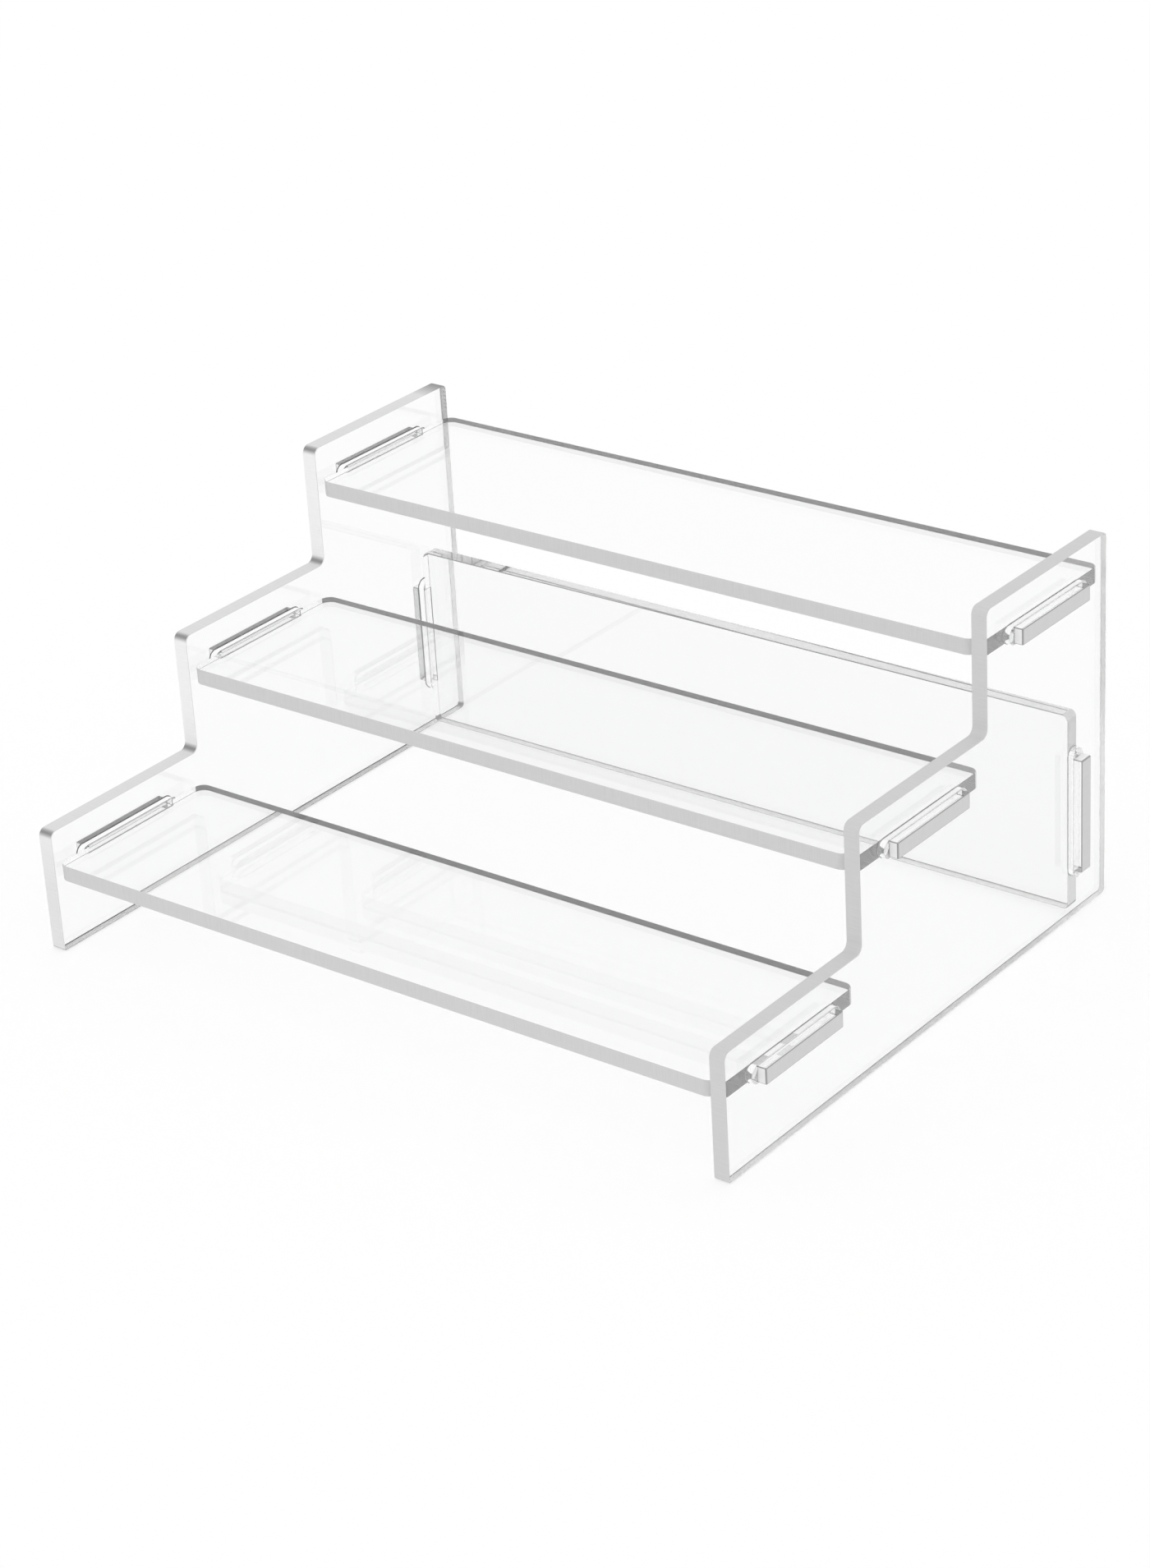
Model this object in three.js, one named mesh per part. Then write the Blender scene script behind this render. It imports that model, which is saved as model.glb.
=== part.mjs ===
import * as THREE from "three";

// Clear acrylic display riser: a flight of shelves and an upright back panel, each with a tab at both ends
// that passes through a slot in a stepped side panel. The pieces are cut from flat sheet and only slot
// together. Millimetres, +Z up, origin on the floor under the middle, lowest step at the front (-Y).

// Sheet and fits
const SHEET = 6; // thickness of the sheet that every piece is cut from
const SLOT_CLEARANCE = 0.3; // air all round a tab in its slot
const BUTT_GAP = 0.3; // air between the shoulder of a tabbed plate and the side panel it stops against
const EDGE_BREAK = 0.3; // polished bevel along every cut edge

// Side panels
const WIDTH = 300; // over the outer faces of the two side panels
const STEP_DEPTH = 78; // run of one step, front to back
const FIRST_RISE = 47.8; // height of the lowest step above the floor
const STEP_RISE = 46.3; // height of each step above the one before it
const STEP_RADIUS = 3; // outer and inner corners of the steps
const HEEL_RADIUS = 2; // upper and lower corners at the back
const TOE_RADIUS = 1; // lower corner at the front

// Shelves, one to a step
const SHELF_NAMES = ["bottom_shelf", "middle_shelf", "top_shelf"];
const SHELF_DROP = 13; // top of a shelf below the top edge of its step
const SHELF_SETBACK = 1.5; // front edge of a shelf behind the front edge of its step
const SHELF_RADIUS = 4; // plan corners of a shelf

// Tabs of the shelves and of the back panel
const TAB_WIDTH = 44; // along the end that carries the tab
const TAB_PROUD = 3.3; // reach past the outer face of the side panel
const TAB_RADIUS = 0.5; // corners at the tip

// Back panel
const BACK_INSET = 15.5; // its rear face ahead of the rear edge of the side panels
const BACK_LIFT = 1.5; // its lower edge above the floor
const BACK_HEIGHT = 76.5; // lower edge to upper edge
const BACK_RADIUS = 2.5; // upper corners
const BACK_FOOT_RADIUS = 1.5; // lower corners

const ARC_STEPS = 5; // curve resolution: each arc has twice as many chords

const steps = SHELF_NAMES.length;
const depth = steps * STEP_DEPTH;
const stepTops = SHELF_NAMES.map((name, step) => FIRST_RISE + step * STEP_RISE);
const height = stepTops[steps - 1];
const shelfDepth = STEP_DEPTH - SHELF_SETBACK;

// Middle of each tabbed plate, seen from the side: the plate and its two slots share it.
const shelfPlaces = SHELF_NAMES.map((name, step) => ({
  name,
  y: -depth / 2 + step * STEP_DEPTH + SHELF_SETBACK + shelfDepth / 2,
  z: stepTops[step] - SHELF_DROP - SHEET / 2,
}));
const backPlace = {
  y: depth / 2 - BACK_INSET - SHEET / 2,
  z: BACK_LIFT + BACK_HEIGHT / 2,
};

function clearAcrylic() {
  return new THREE.MeshStandardMaterial({
    color: 0xf3f5f6,
    roughness: 0.06,
    metalness: 0,
    transparent: true,
    opacity: 0.35,
  });
}

// Closed outline, counter-clockwise, through corners [x, y, radius]. A corner of radius 0 stays sharp; any
// other becomes an arc tangent to its two sides.
function roundedOutline(corners) {
  const outline = new THREE.Shape();
  const point = (i) => {
    const [x, y] = corners[(i + corners.length) % corners.length];
    return new THREE.Vector2(x, y);
  };
  corners.forEach(([x, y, radius], i) => {
    const corner = point(i);
    if (radius === 0) {
      outline.lineTo(x, y);
      return;
    }
    const back = point(i - 1).sub(corner).normalize();
    const ahead = point(i + 1).sub(corner).normalize();
    const halfAngle = Math.acos(back.dot(ahead)) / 2;
    const tangent = radius / Math.tan(halfAngle);
    const centre = back.clone().add(ahead).setLength(radius / Math.sin(halfAngle)).add(corner);
    const start = back.clone().multiplyScalar(tangent).add(corner).sub(centre).angle();
    const end = ahead.clone().multiplyScalar(tangent).add(corner).sub(centre).angle();
    const inward = back.cross(ahead) > 0;
    outline.absarc(centre.x, centre.y, radius, start, end, inward);
  });
  return outline;
}

// Round-ended slot for one tab. The tab's square section just reaches the middles of the round ends, so the
// clearance is the same at its corners as along its faces.
function tabSlot({ y, z }, upright) {
  const radius = SHEET / 2 + SLOT_CLEARANCE;
  const lean = upright ? Math.PI / 2 : 0;
  const reach = new THREE.Vector2(TAB_WIDTH / 2, 0).rotateAround(new THREE.Vector2(), lean);
  const quarter = Math.PI / 2;
  const slot = new THREE.Path();
  slot.absarc(y + reach.x, z + reach.y, radius, lean - quarter, lean + quarter, false);
  slot.absarc(y - reach.x, z - reach.y, radius, lean + quarter, lean + 3 * quarter, false);
  return slot;
}

// A plate SHEET thick on its outline, from z = 0 upwards, with every cut edge bevelled.
function cutFromSheet(outline) {
  const plate = new THREE.ExtrudeGeometry(outline, {
    depth: SHEET - 2 * EDGE_BREAK,
    bevelThickness: EDGE_BREAK,
    bevelSize: EDGE_BREAK,
    bevelOffset: -EDGE_BREAK,
    bevelSegments: 1,
    curveSegments: ARC_STEPS,
  });
  return plate.translate(0, 0, EDGE_BREAK);
}

// Stepped side panel: x of the outline runs to the back and y runs up. Slots are placed by what they hold.
function sidePanel(name, x) {
  const corners = [
    [-depth / 2, 0, TOE_RADIUS],
    [depth / 2, 0, HEEL_RADIUS],
    [depth / 2, height, HEEL_RADIUS],
  ];
  for (let step = steps - 1; step >= 0; step -= 1) {
    const front = -depth / 2 + step * STEP_DEPTH;
    corners.push([front, stepTops[step], STEP_RADIUS]);
    if (step > 0) corners.push([front, stepTops[step - 1], STEP_RADIUS]);
  }
  const outline = roundedOutline(corners);
  outline.holes = shelfPlaces.map((place) => tabSlot(place, false));
  outline.holes.push(tabSlot(backPlace, true));
  const panel = new THREE.Mesh(cutFromSheet(outline), clearAcrylic());
  panel.name = name;
  panel.rotation.set(Math.PI / 2, Math.PI / 2, 0);
  panel.position.x = x;
  return panel;
}

// Plate that spans the two side panels: shoulders stop against their inner faces, and a tab in the middle of
// each end goes on through the slot. The outline is centred, and y runs across the plate.
function tabbedPlate(name, across, lowRadius, highRadius) {
  const shoulder = WIDTH / 2 - SHEET - BUTT_GAP;
  const tip = WIDTH / 2 + TAB_PROUD;
  const edge = across / 2;
  const tab = TAB_WIDTH / 2;
  const outline = roundedOutline([
    [-shoulder, -edge, lowRadius],
    [shoulder, -edge, lowRadius],
    [shoulder, -tab, 0],
    [tip, -tab, TAB_RADIUS],
    [tip, tab, TAB_RADIUS],
    [shoulder, tab, 0],
    [shoulder, edge, highRadius],
    [-shoulder, edge, highRadius],
    [-shoulder, tab, 0],
    [-tip, tab, TAB_RADIUS],
    [-tip, -tab, TAB_RADIUS],
    [-shoulder, -tab, 0],
  ]);
  const plate = new THREE.Mesh(cutFromSheet(outline), clearAcrylic());
  plate.name = name;
  return plate;
}

const riser = new THREE.Group();
riser.add(sidePanel("left_side_panel", -WIDTH / 2));
riser.add(sidePanel("right_side_panel", WIDTH / 2 - SHEET));

shelfPlaces.forEach(({ name, y, z }) => {
  const shelf = tabbedPlate(name, shelfDepth, SHELF_RADIUS, SHELF_RADIUS);
  shelf.position.set(0, y, z - SHEET / 2);
  riser.add(shelf);
});

// The back panel stands upright: y of its outline runs up, and its thickness runs to the front.
const backPanel = tabbedPlate("back_panel", BACK_HEIGHT, BACK_FOOT_RADIUS, BACK_RADIUS);
backPanel.rotation.x = Math.PI / 2;
backPanel.position.set(0, backPlace.y + SHEET / 2, backPlace.z);
riser.add(backPanel);

export default riser;
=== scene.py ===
import bpy
import numpy as np
from mathutils import Matrix, Vector
from mathutils.geometry import delaunay_2d_cdt


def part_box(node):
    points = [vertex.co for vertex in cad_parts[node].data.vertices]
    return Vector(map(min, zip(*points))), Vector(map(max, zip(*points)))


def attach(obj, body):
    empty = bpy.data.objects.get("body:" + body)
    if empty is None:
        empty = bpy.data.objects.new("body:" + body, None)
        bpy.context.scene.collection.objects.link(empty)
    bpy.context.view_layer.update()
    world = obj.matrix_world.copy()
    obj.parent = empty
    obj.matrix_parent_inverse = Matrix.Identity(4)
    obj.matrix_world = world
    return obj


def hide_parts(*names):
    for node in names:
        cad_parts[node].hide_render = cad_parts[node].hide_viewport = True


# Display riser in clear acrylic: stepped side panels, tabbed shelves and a tabbed back panel, slotted
# together from flat sheet. Metres, +Z up, lowest step at the front (-Y), standing on z = 0.
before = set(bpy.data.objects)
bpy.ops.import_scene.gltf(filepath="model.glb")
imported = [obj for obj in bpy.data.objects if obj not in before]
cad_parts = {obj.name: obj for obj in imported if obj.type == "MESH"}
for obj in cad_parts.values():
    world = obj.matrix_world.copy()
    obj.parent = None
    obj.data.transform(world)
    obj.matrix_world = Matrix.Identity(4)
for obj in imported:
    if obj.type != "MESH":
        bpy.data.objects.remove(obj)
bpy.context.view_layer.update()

# Side panels.
# Two stepped plates of clear cast acrylic sheet, pushed onto the tabs of the other plates. Each has a level
# slot in every step and an upright one low down at the back, all polished. A router leaves the profile satin
# where it faces the front or up, and a saw leaves the foot and the rear edge frosted. On the left panel the
# satin's grey carries painted light and shade, and its rims and heel are painted dark shade.
panel_low, panel_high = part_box("right_side_panel")
front, rear = panel_low.y, panel_high.y
SHELVES = ("bottom_shelf", "middle_shelf", "top_shelf")
SHEET = panel_high.x - panel_low.x
STEP_RUN = (rear - front) / len(SHELVES)
STEP_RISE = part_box("middle_shelf")[0].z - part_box("bottom_shelf")[0].z
STEP_RADIUS = 0.003  # outer and inner corners of the steps
HEEL_RADIUS = 0.002  # upper and lower corners at the back
TOE_RADIUS = 0.001  # lower corner at the front
TAB_WIDTH = 0.044  # of the tabs that the slots take
SLOT_CLEARANCE = 0.0003  # air all round a tab in its slot
ARRIS = 0.0003  # radius of the quarter rounds along a cut edge
ARRIS_STEPS = 4
ARC_STEPS = 12
SAME_POINT = 1e-7  # points closer than this are one
TINY = 1e-9  # keeps a length that is divided by above zero


def rounded_outline(corners):
    """Closed outline through corners (u, v, radius), with an arc tangent to both sides of each corner.

    An arc's centre lies on its corner's bisector, radius / sin(half angle) away. The outward normal turns
    evenly from one side's to the next one's, and a point lies one radius from the centre along it, or
    against it where the corner is hollow. Counter-clockwise encloses material, clockwise a hole. Returns
    points and normals.
    """
    corners = np.asarray(corners, float)
    here, radius = corners[:, :2], corners[:, 2]
    back = np.roll(here, 1, 0) - here
    ahead = np.roll(here, -1, 0) - here
    back /= np.linalg.norm(back, axis=1, keepdims=True)
    ahead /= np.linalg.norm(ahead, axis=1, keepdims=True)
    bisector = back + ahead
    bisector /= np.maximum(np.linalg.norm(bisector, axis=1, keepdims=True), TINY)
    half_angle = np.arccos((back * ahead).sum(1)) / 2
    centre = here + bisector * (radius / np.sin(half_angle))[:, None]
    turn = np.sign(ahead[:, 0] * back[:, 1] - ahead[:, 1] * back[:, 0])
    start = np.arctan2(back[:, 0], -back[:, 1])
    sweep = turn * (np.pi - 2 * half_angle)
    angle = start[:, None] + sweep[:, None] * np.linspace(0, 1, ARC_STEPS + 1)
    normal = np.stack((np.cos(angle), np.sin(angle)), -1)
    point = centre[:, None] + (turn * radius)[:, None, None] * normal
    point, normal = point.reshape(-1, 2), normal.reshape(-1, 2)
    apart = np.linalg.norm(point - np.roll(point, 1, 0), axis=1) > SAME_POINT
    return point[apart], normal[apart]


def slot_outline(low, high, upright):
    """Round-ended slot round the tab of a plate whose box is given, seen from the side.

    Its four corners have half the slot's width as their radius, so each pair of them makes one round end.
    """
    u, v = (low.y + high.y) / 2, (low.z + high.z) / 2
    radius = SHEET / 2 + SLOT_CLEARANCE
    along, across = TAB_WIDTH / 2 + radius, radius
    if upright:
        along, across = across, along
    return rounded_outline([
        (u - along, v - across, radius),
        (u - along, v + across, radius),
        (u + along, v + across, radius),
        (u + along, v - across, radius),
    ])


def edge_section():
    """Section of a cut edge, from the lower face up: a quarter round, the flat cut and a quarter round.

    The normal tilts from straight down to level on the first quarter round and from level to straight up on
    the last. Returns each row's tilt, its reach past the outline, at or below 0, and its height.
    """
    rising = np.linspace(-np.pi / 2, 0, ARRIS_STEPS + 1)
    tilt = np.concatenate((rising, -rising[::-1]))
    reach = ARRIS * (np.cos(tilt) - 1)
    centre = np.repeat((ARRIS, SHEET - ARRIS), ARRIS_STEPS + 1)
    return tilt, reach, centre + ARRIS * np.sin(tilt)


def cut_edge(outline, outward):
    """Cut edge of one outline: the section carried along it, as a grid of rows by outline points.

    A point is the outline's point moved along its outward normal by the row's reach and lifted to the
    row's height. Its normal is the outward one tilted by the row's tilt. u of the map runs along the
    outline and v up the edge.
    """
    tilt, reach, height = edge_section()
    grid = (tilt.size, len(outline), 1)
    flat = outline + reach[:, None, None] * outward
    points = np.concatenate((flat, np.broadcast_to(height[:, None, None], grid)), -1)
    lean = outward * np.cos(tilt)[:, None, None]
    normals = np.concatenate((lean, np.broadcast_to(np.sin(tilt)[:, None, None], grid)), -1)
    index = np.arange(tilt.size * len(outline)).reshape(grid[:2])
    after = np.roll(index, -1, 1)
    quads = np.stack((index[:-1], after[:-1], after[1:], index[1:]), -1)
    stride = np.linalg.norm(np.roll(outline, -1, 0) - outline, axis=1)
    end = np.cumsum(stride)
    along = np.stack((end - stride, end, end, end - stride), -1)
    up = np.stack((height[:-1], height[:-1], height[1:], height[1:]), -1)
    run = np.stack(np.broadcast_arrays(along[None], up[:, None]), -1)
    return points, normals, quads, run


def flat_region(rims):
    """Triangles, counter-clockwise, of the region inside the first rim and outside the others.

    They are the Delaunay triangles that keep the rims as edges. A triangle whose first two sides turn
    clockwise is turned over.
    """
    inside_with_holes = 2
    first = np.cumsum([0] + [len(rim) for rim in rims])
    rings = [np.arange(a, b) for a, b in zip(first[:-1], first[1:])]
    edges = np.concatenate([np.stack((ring, np.roll(ring, -1)), -1) for ring in rings])
    rim = np.concatenate(rims)
    region = delaunay_2d_cdt(rim.tolist(), edges.tolist(), [], inside_with_holes, SAME_POINT)
    corners, sources = np.array(region[2]), np.array(region[3])
    triangles = sources[:, 0][corners]
    side_a = rim[triangles[:, 1]] - rim[triangles[:, 0]]
    side_b = rim[triangles[:, 2]] - rim[triangles[:, 0]]
    clockwise = side_a[:, 0] * side_b[:, 1] < side_a[:, 1] * side_b[:, 0]
    triangles[clockwise] = triangles[clockwise][:, ::-1]
    return triangles


CLEAR, SATIN = range(2)  # material slots that every sheet has


def sheet_mesh(name, cuts, place):
    """Closed sheet of acrylic. Each cut is an outline, as points and outward normals, and its finish.

    The first cut goes round the sheet and the others are its holes. Each has its edge, and the two faces
    fill the region between the ends of those edges. A finish takes the middle of each stretch of an outline
    and the way it faces, and gives three rows of material slots: for the lower quarter round, the flat cut
    and the upper quarter round. place is the 4 x 4 that sets the sheet up.
    """
    points, normals, quads, runs, slots, lower, upper, rims = [], [], [], [], [], [], [], []
    first = 0
    for (outline, outward), finish in cuts:
        edge, lean, quad, run = cut_edge(outline, outward)
        middle = (outline + np.roll(outline, -1, 0)) / 2
        facing = (outward + np.roll(outward, -1, 0)) / 2
        slot = np.repeat(finish(middle, facing), (ARRIS_STEPS, 1, ARRIS_STEPS), axis=0)
        points.append(edge.reshape(-1, 3))
        normals.append(lean.reshape(-1, 3))
        quads.append(first + quad.reshape(-1, 4))
        runs.append(run.reshape(-1, 2))
        slots.append(slot.ravel())
        lower.append(first + np.arange(len(outline)))
        upper.append(lower[-1] + len(quad) * len(outline))
        rims.append(edge[0, :, :2])
        first += len(points[-1])

    triangles = flat_region(rims)
    below = np.concatenate(lower)[triangles[:, ::-1]]
    above = np.concatenate(upper)[triangles]
    points = np.concatenate(points)
    runs += [points[below.ravel(), :2], points[above.ravel(), :2]]
    slots.append(np.full(2 * len(triangles), CLEAR))
    mesh = bpy.data.meshes.new(name)
    mesh.from_pydata(points.tolist(), [], np.concatenate(quads).tolist() + below.tolist() + above.tolist())
    mesh.polygons.foreach_set("material_index", np.concatenate(slots).astype(np.int32))
    mesh.polygons.foreach_set("use_smooth", np.ones(len(mesh.polygons), bool))
    cut_map = mesh.uv_layers.new(name="cut")
    cut_map.data.foreach_set("uv", np.concatenate(runs).ravel().astype(np.float32))
    mesh.normals_split_custom_set_from_vertices(np.concatenate(normals).tolist())
    mesh.transform(place)
    return mesh


scene = bpy.context.scene


def lay_sheet(mesh, node, body, finishes):
    """Puts one finished sheet in the scene in place of its solid. finishes has a material for each slot."""
    piece = bpy.data.objects.new(mesh.name, mesh)
    scene.collection.objects.link(piece)
    for slot in sorted(finishes):
        mesh.materials.append(finishes[slot])
    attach(piece, body)
    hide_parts(node)


ACRYLIC_IOR = 1.49


def acrylic_material(name):
    """New material that bends light as acrylic does. Returns it, its node tree and its shader's inputs."""
    material = bpy.data.materials.new(name)
    material.use_nodes = True
    tree = material.node_tree
    shader = tree.nodes["Principled BSDF"].inputs
    shader["IOR"].default_value = ACRYLIC_IOR
    return material, tree, shader


def clear_acrylic(name, tone):
    """Glossy cast face: clear, a shade under white, with a faint wipe haze in the gloss.

    The haze is noise on Object coordinates. Its lower part leaves the face a mirror, and from there the
    roughness grows with it.
    """
    material, tree, shader = acrylic_material(name)
    cold_cast = 0.002
    shader["Base Color"].default_value = (tone - cold_cast, tone, tone, 1)
    shader["Transmission Weight"].default_value = 1
    where = tree.nodes.new("ShaderNodeTexCoord")
    wipe = tree.nodes.new("ShaderNodeTexNoise")
    wipe.inputs["Scale"].default_value = 26
    wipe.inputs["Detail"].default_value = 5
    tree.links.new(where.outputs["Object"], wipe.inputs["Vector"])
    haze = tree.nodes.new("ShaderNodeMapRange")
    haze.inputs["From Min"].default_value = 0.45
    haze.inputs["From Max"].default_value = 0.8
    haze.inputs["To Min"].default_value = 0
    haze.inputs["To Max"].default_value = 0.03
    tree.links.new(wipe.outputs["Fac"], haze.inputs["Value"])
    tree.links.new(haze.outputs["Result"], shader["Roughness"])
    return material


def put(tree, socket, value):
    """Sets a socket to a plain value, or links it where the value is another node's output."""
    if isinstance(value, bpy.types.NodeSocket):
        tree.links.new(value, socket)
    else:
        socket.default_value = value


def reckon(tree, operation, first, second=0, clamp=False):
    """One sum in a material: a Math node on numbers or on other nodes' outputs."""
    node = tree.nodes.new("ShaderNodeMath")
    node.operation = operation
    node.use_clamp = clamp
    put(tree, node.inputs[0], first)
    put(tree, node.inputs[1], second)
    return node.outputs["Value"]


def ramp(tree, value, start, end):
    """Share of the way that a value has come from start to end, held between 0 and 1."""
    return reckon(tree, "DIVIDE", reckon(tree, "SUBTRACT", value, start), end - start, clamp=True)


def blend(tree, share, first, second):
    """Goes from the first value at share 0 to the second at share 1."""
    node = tree.nodes.new("ShaderNodeMix")
    put(tree, node.inputs["Factor"], share)
    put(tree, node.inputs["A"], first)
    put(tree, node.inputs["B"], second)
    return node.outputs["Result"]


def split(tree, vector):
    """X, Y and Z of a vector."""
    node = tree.nodes.new("ShaderNodeSeparateXYZ")
    tree.links.new(vector, node.inputs["Vector"])
    return node.outputs


def edge_map(tree):
    """The sheet's own map, with u along a cut edge and v up it, in metres."""
    node = tree.nodes.new("ShaderNodeUVMap")
    node.uv_map = "cut"
    return node.outputs["UV"]


def cutter_strokes(tree, along, up):
    """Fine strokes of a cutter: noise on the edge's map, with so many to the metre along and up the edge."""
    stretch = tree.nodes.new("ShaderNodeMapping")
    stretch.inputs["Scale"].default_value = (along, up, 1)
    tree.links.new(edge_map(tree), stretch.inputs["Vector"])
    strokes = tree.nodes.new("ShaderNodeTexNoise")
    strokes.inputs["Scale"].default_value = 1
    strokes.inputs["Detail"].default_value = 3
    tree.links.new(stretch.outputs["Vector"], strokes.inputs["Vector"])
    return strokes.outputs["Fac"]


SATIN_ROUGHNESS = 0.55
STROKE_MIDDLE = 0.5  # of the noise that makes the strokes
STROKE_SWING = 0.1  # of grey and roughness, over the whole range of that noise
STROKE_DEPTH = 0.00003


def satin_cut(name, grey):
    """Satin of a routed edge: grey, with the cutter's fine strokes in its colour, roughness and bump.

    grey is a number, or a function that works the grey out in the material's node tree.
    """
    material, tree, shader = acrylic_material(name)
    shader["Specular IOR Level"].default_value = 0.2
    strokes = cutter_strokes(tree, along=4000, up=120)
    swing = reckon(tree, "MULTIPLY", reckon(tree, "SUBTRACT", strokes, STROKE_MIDDLE), STROKE_SWING)
    tone = grey(tree) if callable(grey) else grey
    tree.links.new(reckon(tree, "ADD", tone, swing), shader["Base Color"])
    tree.links.new(reckon(tree, "ADD", SATIN_ROUGHNESS, swing), shader["Roughness"])
    bump = tree.nodes.new("ShaderNodeBump")
    bump.inputs["Strength"].default_value = 0.3
    bump.inputs["Distance"].default_value = STROKE_DEPTH
    tree.links.new(strokes, bump.inputs["Height"])
    tree.links.new(bump.outputs["Normal"], shader["Normal"])
    return material


def frosted_cut(name, grey, see_through):
    """Sawn edge that stays see-through: frosted by the blade, so light passes it but no picture does.

    grey is a number, or a function that works the grey out in the material's node tree.
    """
    material, tree, shader = acrylic_material(name)
    put(tree, shader["Base Color"], grey(tree) if callable(grey) else (grey, grey, grey, 1))
    shader["Transmission Weight"].default_value = see_through
    rough = tree.nodes.new("ShaderNodeMapRange")
    rough.inputs["To Min"].default_value = 0.55
    rough.inputs["To Max"].default_value = 0.65
    tree.links.new(cutter_strokes(tree, along=3000, up=200), rough.inputs["Value"])
    tree.links.new(rough.outputs["Result"], shader["Roughness"])
    return material


# The left panel's profile greys are painted light and shade over the satin: lighter than the right panel's,
# lightest where it faces the front, with less light near the table and painted shade at the rear end of the
# top edge and round the corners.
LEVEL_LIT_GREY = 0.72  # painted light where the left panel's profile faces up
RISER_LIT_GREY = 0.88  # painted light, more of it, where it faces the front
FOOT_LIT_GREY = 0.76  # painted light, less of it, where it faces the front near the table
CORNER_SHADE_GREY = 0.28  # painted shade half way round each corner
HEEL_SHADE_GREY = 0.2  # painted shade at the rear end of the top edge
RISER_LOW, FOOT_HIGH = 0.065, 0.025  # heights between which a riser goes over to the grey of the foot
HEEL_FADE = 0.014


def left_profile_light_and_shade(tree):
    """Painted light and shade in the grey of the left panel's profile, worked out from the normal and the
    place of each point.

    The share of the riser's grey is the normal's Y squared. The share of the corners' grey is the square of
    2 Y Z, which is 1 half way round a corner and 0 on the straights.
    """
    where = tree.nodes.new("ShaderNodeTexCoord")
    place = split(tree, where.outputs["Object"])
    facing = split(tree, where.outputs["Normal"])
    riser = blend(tree, ramp(tree, place["Z"], RISER_LOW, FOOT_HIGH), RISER_LIT_GREY, FOOT_LIT_GREY)
    level = blend(tree, ramp(tree, place["Y"], rear - HEEL_FADE, rear), LEVEL_LIT_GREY, HEEL_SHADE_GREY)
    straight = blend(tree, reckon(tree, "MULTIPLY", facing["Y"], facing["Y"]), level, riser)
    slant = reckon(tree, "MULTIPLY", reckon(tree, "MULTIPLY", facing["Y"], facing["Z"]), 2)
    return blend(tree, reckon(tree, "MULTIPLY", slant, slant), straight, CORNER_SHADE_GREY)


REAR_GREY = 0.99
TOP_DARK_GREY = 0.28
TOP_DARK_LENGTH = 0.0185
TOP_DARK_FADE = 0.003
BARS_LENGTH = 0.012
BAR_PITCH = 0.0016
BAR_SWING = 0.25


def left_rear_grey(tree):
    """Grey of the left panel's rear edge, dark at its upper end.

    The last BARS_LENGTH has bars on the inner half of the sheet: a sine of the height, with one bar to each
    BAR_PITCH.
    """
    top = panel_high.z
    where = tree.nodes.new("ShaderNodeTexCoord")
    height = split(tree, where.outputs["Object"])["Z"]
    dark_top = ramp(tree, height, top - TOP_DARK_LENGTH, top - TOP_DARK_LENGTH + TOP_DARK_FADE)
    barred = ramp(tree, height, top - BARS_LENGTH, top - BARS_LENGTH + TOP_DARK_FADE)
    inner_half = reckon(tree, "GREATER_THAN", split(tree, edge_map(tree))["Y"], SHEET / 2)
    bars = reckon(tree, "SINE", reckon(tree, "MULTIPLY", height, 2 * np.pi / BAR_PITCH))
    swing = reckon(tree, "MULTIPLY", reckon(tree, "MULTIPLY", bars, inner_half), barred)
    dark_top_grey = reckon(tree, "ADD", TOP_DARK_GREY, reckon(tree, "MULTIPLY", swing, BAR_SWING))
    return blend(tree, dark_top, REAR_GREY, dark_top_grey)


FOOT, REAR, HEEL, LEFT_RIM, RIGHT_RIM = range(2, 7)  # further material slots of a side panel


def faces(facing, way, within):
    """True where a stretch of an outline faces within some degrees of a way, in degrees from u towards v."""
    angle = np.degrees(np.arctan2(facing[:, 1], facing[:, 0]))
    return np.abs((angle - way + 180) % 360 - 180) < within


def profile_finish(middle, facing):
    """Satin where the profile faces the front or up. The rear, the foot and the heel have their own finish.

    The heel is the corner between the other two. The foot has a rim along each side.
    """
    to_rear, down, to_heel = 0, -90, -45
    found = np.where(faces(facing, to_rear, within=45), REAR, SATIN)
    found = np.where(faces(facing, down, within=45), [[LEFT_RIM], [FOOT], [RIGHT_RIM]], found)
    return np.where(faces(facing, to_heel, within=30), HEEL, found)


def slot_finish(middle, facing):
    """Polished wall between two rims, all round the slot."""
    return np.tile([[LEFT_RIM], [CLEAR], [RIGHT_RIM]], (1, len(facing)))


profile = [(front, 0, TOE_RADIUS), (rear, 0, HEEL_RADIUS), (rear, panel_high.z, HEEL_RADIUS)]
step_top = panel_high.z
for step in reversed(range(len(SHELVES))):
    step_front = front + step * STEP_RUN
    profile.append((step_front, step_top, STEP_RADIUS))
    if step > 0:
        step_top -= STEP_RISE
        profile.append((step_front, step_top, STEP_RADIUS))
panel_cuts = [(rounded_outline(profile), profile_finish)]
for shelf in SHELVES:
    panel_cuts.append((slot_outline(*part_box(shelf), upright=False), slot_finish))
panel_cuts.append((slot_outline(*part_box("back_panel"), upright=True), slot_finish))

acrylic = clear_acrylic("clear_acrylic", tone=0.976)
frosted = frosted_cut("frosted_cut", grey=0.97, see_through=0.9)
rear_cut = frosted_cut("rear_cut", grey=0.97, see_through=0.8)
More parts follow.
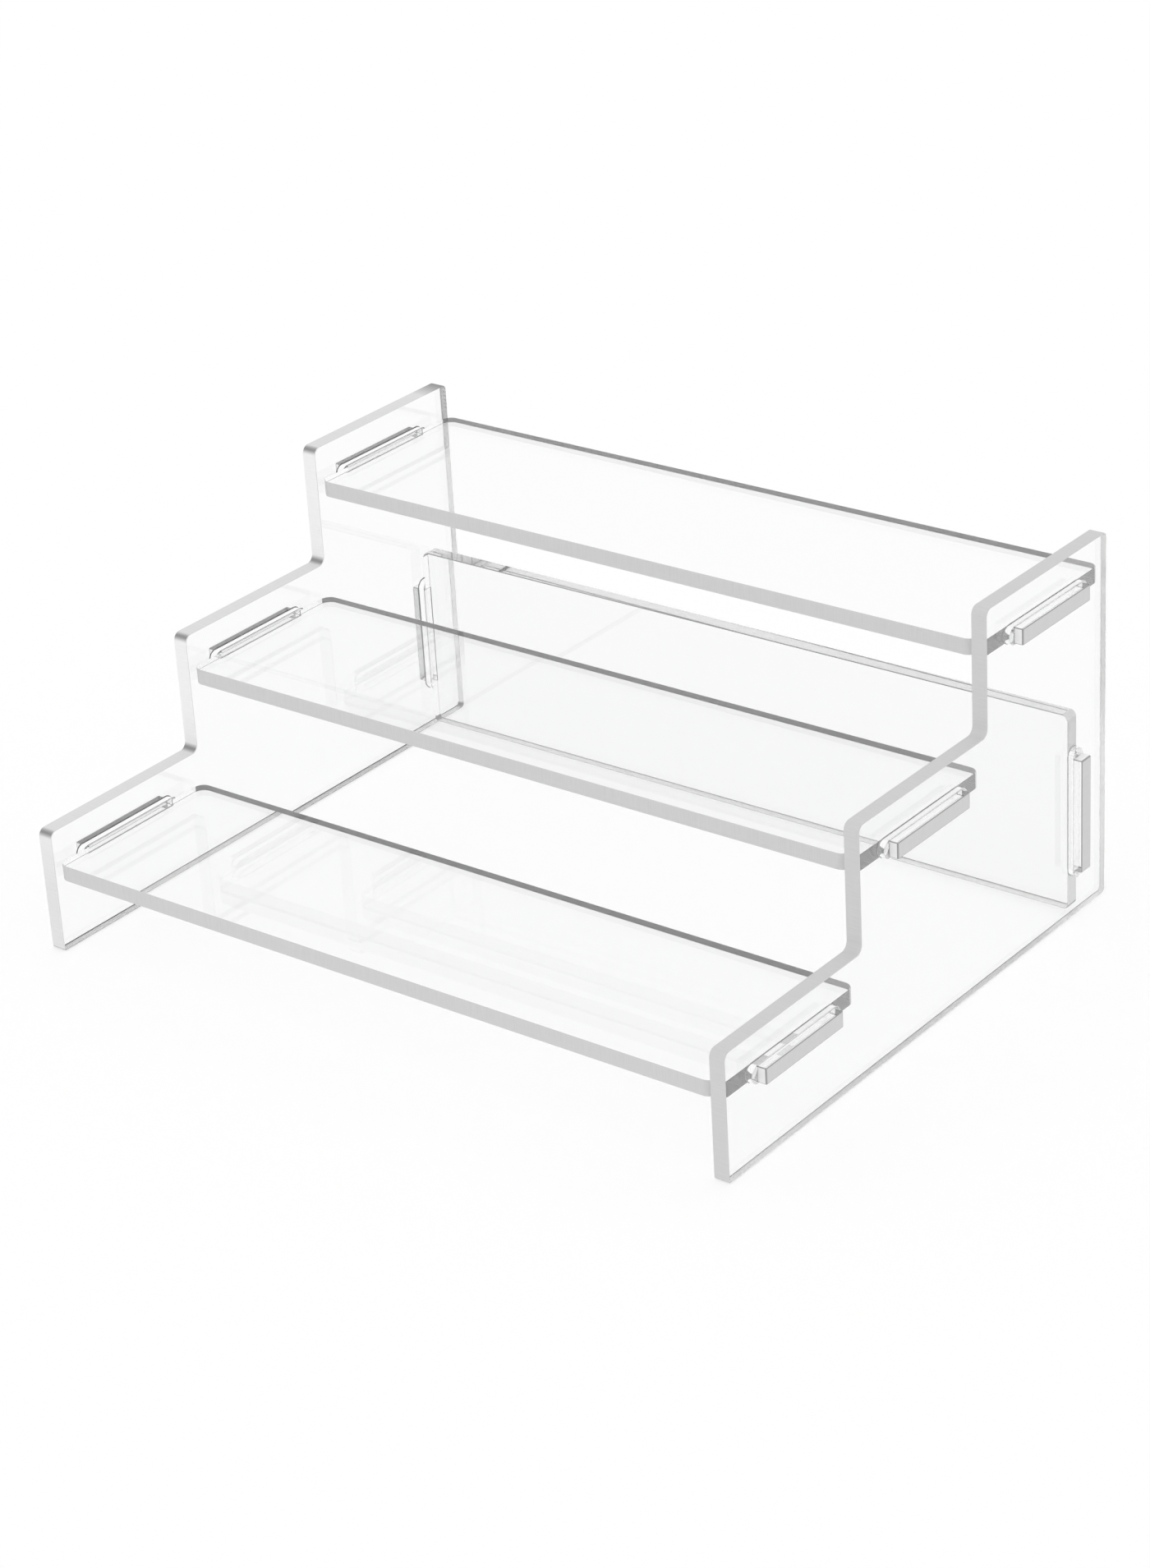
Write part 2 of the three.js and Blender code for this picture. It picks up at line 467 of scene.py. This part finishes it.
# Painted dark shade on the left panel's rims and heel, far darker than the right panel's rims.
left_rim_shade = satin_cut("left_rim_shade", grey=0.25)
side_finishes = {
    "left": {
        CLEAR: acrylic,
        SATIN: satin_cut("left_side_cut_light_and_shade", grey=left_profile_light_and_shade),
        FOOT: frosted,
        REAR: frosted_cut("left_rear", grey=left_rear_grey, see_through=0.9),
        HEEL: left_rim_shade,
        LEFT_RIM: left_rim_shade,
        RIGHT_RIM: left_rim_shade,
    },
    "right": {
        CLEAR: acrylic,
        SATIN: satin_cut("right_side_cut", grey=0.62),
        FOOT: frosted_cut("right_foot", grey=0.99, see_through=1),
        REAR: rear_cut,
        HEEL: rear_cut,
        LEFT_RIM: satin_cut("right_rim", grey=0.6),
        RIGHT_RIM: acrylic,
    },
}
for side in ("left", "right"):
    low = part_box(side + "_side_panel")[0]
    stand_up = Matrix(((0, 0, 1, low.x), (1, 0, 0, 0), (0, 1, 0, 0), (0, 0, 0, 1)))
    mesh = sheet_mesh(side + "_side_sheet", panel_cuts, stand_up)
    lay_sheet(mesh, side + "_side_panel", side + "_side", side_finishes[side])

# Shelves.
# Three plates cut from the same sheet, one to a step, with a tab between two shoulders at each end. The
# shoulders stop against the side panels and the tabs go through their slots, with no glue or screws. The
# long edges and the tips are left satin, and the shoulders and the tabs inside the slots are polished.
SHOULDER_GAP = 0.0003  # air between a shoulder and the side panel
SHELF_RADIUS = 0.004
TAB_RADIUS = 0.0005
ROOT_RADIUS = 0.0004  # between a shoulder and its tab
RIM, TAB_SIDE, RIGHT_END, LEFT_TIP = range(2, 6)  # further material slots of a tabbed plate


def tabbed_outline(tip, low, high, low_radius, high_radius):
    """Outline of a plate between the side panels, u from side to side: a rectangle with a tab on each end.

    The left end is the right one mirrored. Each side of a tab has a point at the side panel's outer face,
    where its finish changes.
    """
    shoulder, outside = panel_low.x - SHOULDER_GAP, panel_high.x
    middle = (low + high) / 2
    tab_low, tab_high = middle - TAB_WIDTH / 2, middle + TAB_WIDTH / 2
    right_end = [
        (shoulder, low, low_radius),
        (shoulder, tab_low, ROOT_RADIUS),
        (outside, tab_low, 0),
        (tip, tab_low, TAB_RADIUS),
        (tip, tab_high, TAB_RADIUS),
        (outside, tab_high, 0),
        (shoulder, tab_high, ROOT_RADIUS),
        (shoulder, high, high_radius),
    ]
    left_end = [(-u, v, radius) for u, v, radius in reversed(right_end)]
    return rounded_outline(left_end[-1:] + right_end + left_end[:-1])


def plate_finish(middle, facing):
    """Satin long edges, polished ends and tabs, and on the proud part of a tab a satin tip and pale sides.

    The proud part has rims and corners of painted dark shade. A corner of the plate on the low side of v is
    polished from half way round, and one on the high side stays satin to its end.
    """
    outward, along = 0, 90
    reach = np.abs(middle[:, 0])
    turned = np.abs(facing)
    on_tab = reach > panel_low.x - SHOULDER_GAP / 2
    proud = reach > panel_high.x
    right = facing[:, 0] > 0
    square_end = faces(turned, outward, within=8)
    end = np.where(facing[:, 1] < 0, faces(turned, outward, within=45), square_end)
    cut = np.where(end, np.where(right, RIGHT_END, CLEAR), SATIN)
    cut = np.where(on_tab, CLEAR, cut)
    tab = np.where(faces(turned, along, within=3), TAB_SIDE, RIM)
    tab = np.where(square_end, np.where(right, SATIN, LEFT_TIP), tab)
    cut = np.where(proud, tab, cut)
    rim = np.where(end | on_tab, CLEAR, SATIN)
    rim = np.where(proud, RIM, rim)
    return np.stack((rim, cut, rim))


plate_cut = satin_cut("plate_cut", grey=0.62)
# Painted dark shade on the rims and corners of the proud tabs, and on the back panel's foot, head rims and
# lower corners.
plate_rim_shade = satin_cut("plate_rim_shade", grey=0.35)
tab_side = satin_cut("tab_side", grey=0.95)
shelf_finishes = {
    CLEAR: acrylic,
    SATIN: plate_cut,
    RIM: plate_rim_shade,
    TAB_SIDE: tab_side,
    RIGHT_END: acrylic,
    LEFT_TIP: plate_cut,
}
for shelf in SHELVES:
    low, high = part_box(shelf)
    outline = tabbed_outline(high.x, low.y, high.y, SHELF_RADIUS, SHELF_RADIUS)
    lie_flat = Matrix.Translation((0, 0, low.z))
    mesh = sheet_mesh(shelf + "_sheet", [(outline, plate_finish)], lie_flat)
    lay_sheet(mesh, shelf, "shelving", shelf_finishes)

# Back panel.
# An upright plate, low down near the rear, of sheet as thick as the rest but a shade greyer. It is tabbed as
# the shelves are and keeps the side panels square. Its foot is sawn and frosted, and its head is polished.
BACK_RADIUS = 0.0025
BACK_FOOT_RADIUS = 0.0015
BACK_FOOT = 6  # one more material slot, after those of the shelves
back_low, back_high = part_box("back_panel")


def back_finish(middle, facing):
    """As a shelf, but with a frosted foot and a polished head between rims of painted dark shade, and
    painted dark shade on the lower corners.
    """
    along = 90
    level = faces(np.abs(facing), along, within=15)
    foot = middle[:, 1] < back_low.z + BACK_FOOT_RADIUS
    head = middle[:, 1] > back_high.z - BACK_RADIUS
    found = np.where(foot, RIM, plate_finish(middle, facing))
    found = np.where(foot & level, [[RIM], [BACK_FOOT], [RIM]], found)
    return np.where(head & level, [[RIM], [CLEAR], [RIM]], found)


back_finishes = {
    CLEAR: clear_acrylic("back_acrylic", tone=0.955),
    SATIN: plate_cut,
    RIM: plate_rim_shade,
    TAB_SIDE: tab_side,
    RIGHT_END: frosted_cut("back_end", grey=0.8, see_through=0.5),
    LEFT_TIP: rear_cut,
    BACK_FOOT: frosted,
}
outline = tabbed_outline(back_high.x, back_low.z, back_high.z, BACK_FOOT_RADIUS, BACK_RADIUS)
face_front = Matrix(((1, 0, 0, 0), (0, 0, -1, back_high.y), (0, 1, 0, 0), (0, 0, 0, 1)))
mesh = sheet_mesh("back_sheet", [(outline, back_finish)], face_front)
lay_sheet(mesh, "back_panel", "shelving", back_finishes)

# Floor.
# A plain white table top that runs far past the riser, just below its lower edges. It is lit from inside as
# well as from the tent, so it stays white and still keeps the riser's soft shadow.
FLOOR_SPAN = 30.0
FLOOR_DROP = 0.0003
FLOOR_TONE = 0.4


def light_table():
    """White light table: the share of white that it does not reflect, it gives out."""
    material = bpy.data.materials.new("light_table")
    material.use_nodes = True
    shader = material.node_tree.nodes["Principled BSDF"].inputs
    shader["Base Color"].default_value = (FLOOR_TONE, FLOOR_TONE, FLOOR_TONE, 1)
    shader["Roughness"].default_value = 0.9
    shader["Specular IOR Level"].default_value = 0
    shader["Emission Color"].default_value = (1, 1, 1, 1)
    shader["Emission Strength"].default_value = 1 - FLOOR_TONE
    return material


floor_corners = np.array([(-1, -1, 0), (1, -1, 0), (1, 1, 0), (-1, 1, 0)]) * FLOOR_SPAN / 2
floor_corners[:, 2] = -FLOOR_DROP
floor_mesh = bpy.data.meshes.new("table_top")
floor_mesh.from_pydata(floor_corners.tolist(), [], [(0, 1, 2, 3)])
floor_mesh.materials.append(light_table())
floor = bpy.data.objects.new("table_top", floor_mesh)
scene.collection.objects.link(floor)

# Light.
# A white tent all round the set gives even, soft studio light. The bounces are many because a line of sight
# through the riser passes up to a dozen faces of clear sheet.
world = bpy.data.worlds.new("white_tent")
scene.world = world
world.use_nodes = True
tent = world.node_tree.nodes["Background"].inputs
tent["Color"].default_value = (1, 1, 1, 1)
tent["Strength"].default_value = 1
scene.view_settings.view_transform = "Standard"
scene.cycles.max_bounces = 32
scene.cycles.glossy_bounces = 24
scene.cycles.transmission_bounces = 32
scene.cycles.diffuse_bounces = 8
scene.cycles.blur_glossy = 0

# Camera.
# It stands to the right of the riser's front corner, above it, and looks down on the steps with a long lens.
# Place, axes and focal length are fitted to the straight edges of the side panels in the photograph. The
# width of the sensor spans the longer side of the picture, which is its height.
CAMERA_PLACE = Vector((0.78826, -0.97513, 0.67158))
CAMERA_LOOK = Vector((-0.56294, 0.69860, -0.44166))
CAMERA_RIGHT = Vector((0.79403, 0.60544, -0.05441))
SENSOR = 36  # millimetres
IMAGE_HEIGHT = 1909  # pixels
FOCAL_LENGTH = 4790.0  # pixels
camera_data = bpy.data.cameras.new("camera")
camera_data.sensor_width = SENSOR
camera_data.lens = FOCAL_LENGTH / IMAGE_HEIGHT * SENSOR
camera = bpy.data.objects.new("camera", camera_data)
camera_up = CAMERA_RIGHT.cross(CAMERA_LOOK)
camera_turn = Matrix((CAMERA_RIGHT, camera_up, -CAMERA_LOOK)).transposed().to_quaternion()
camera.matrix_world = Matrix.LocRotScale(CAMERA_PLACE, camera_turn, None)
scene.collection.objects.link(camera)
scene.camera = camera
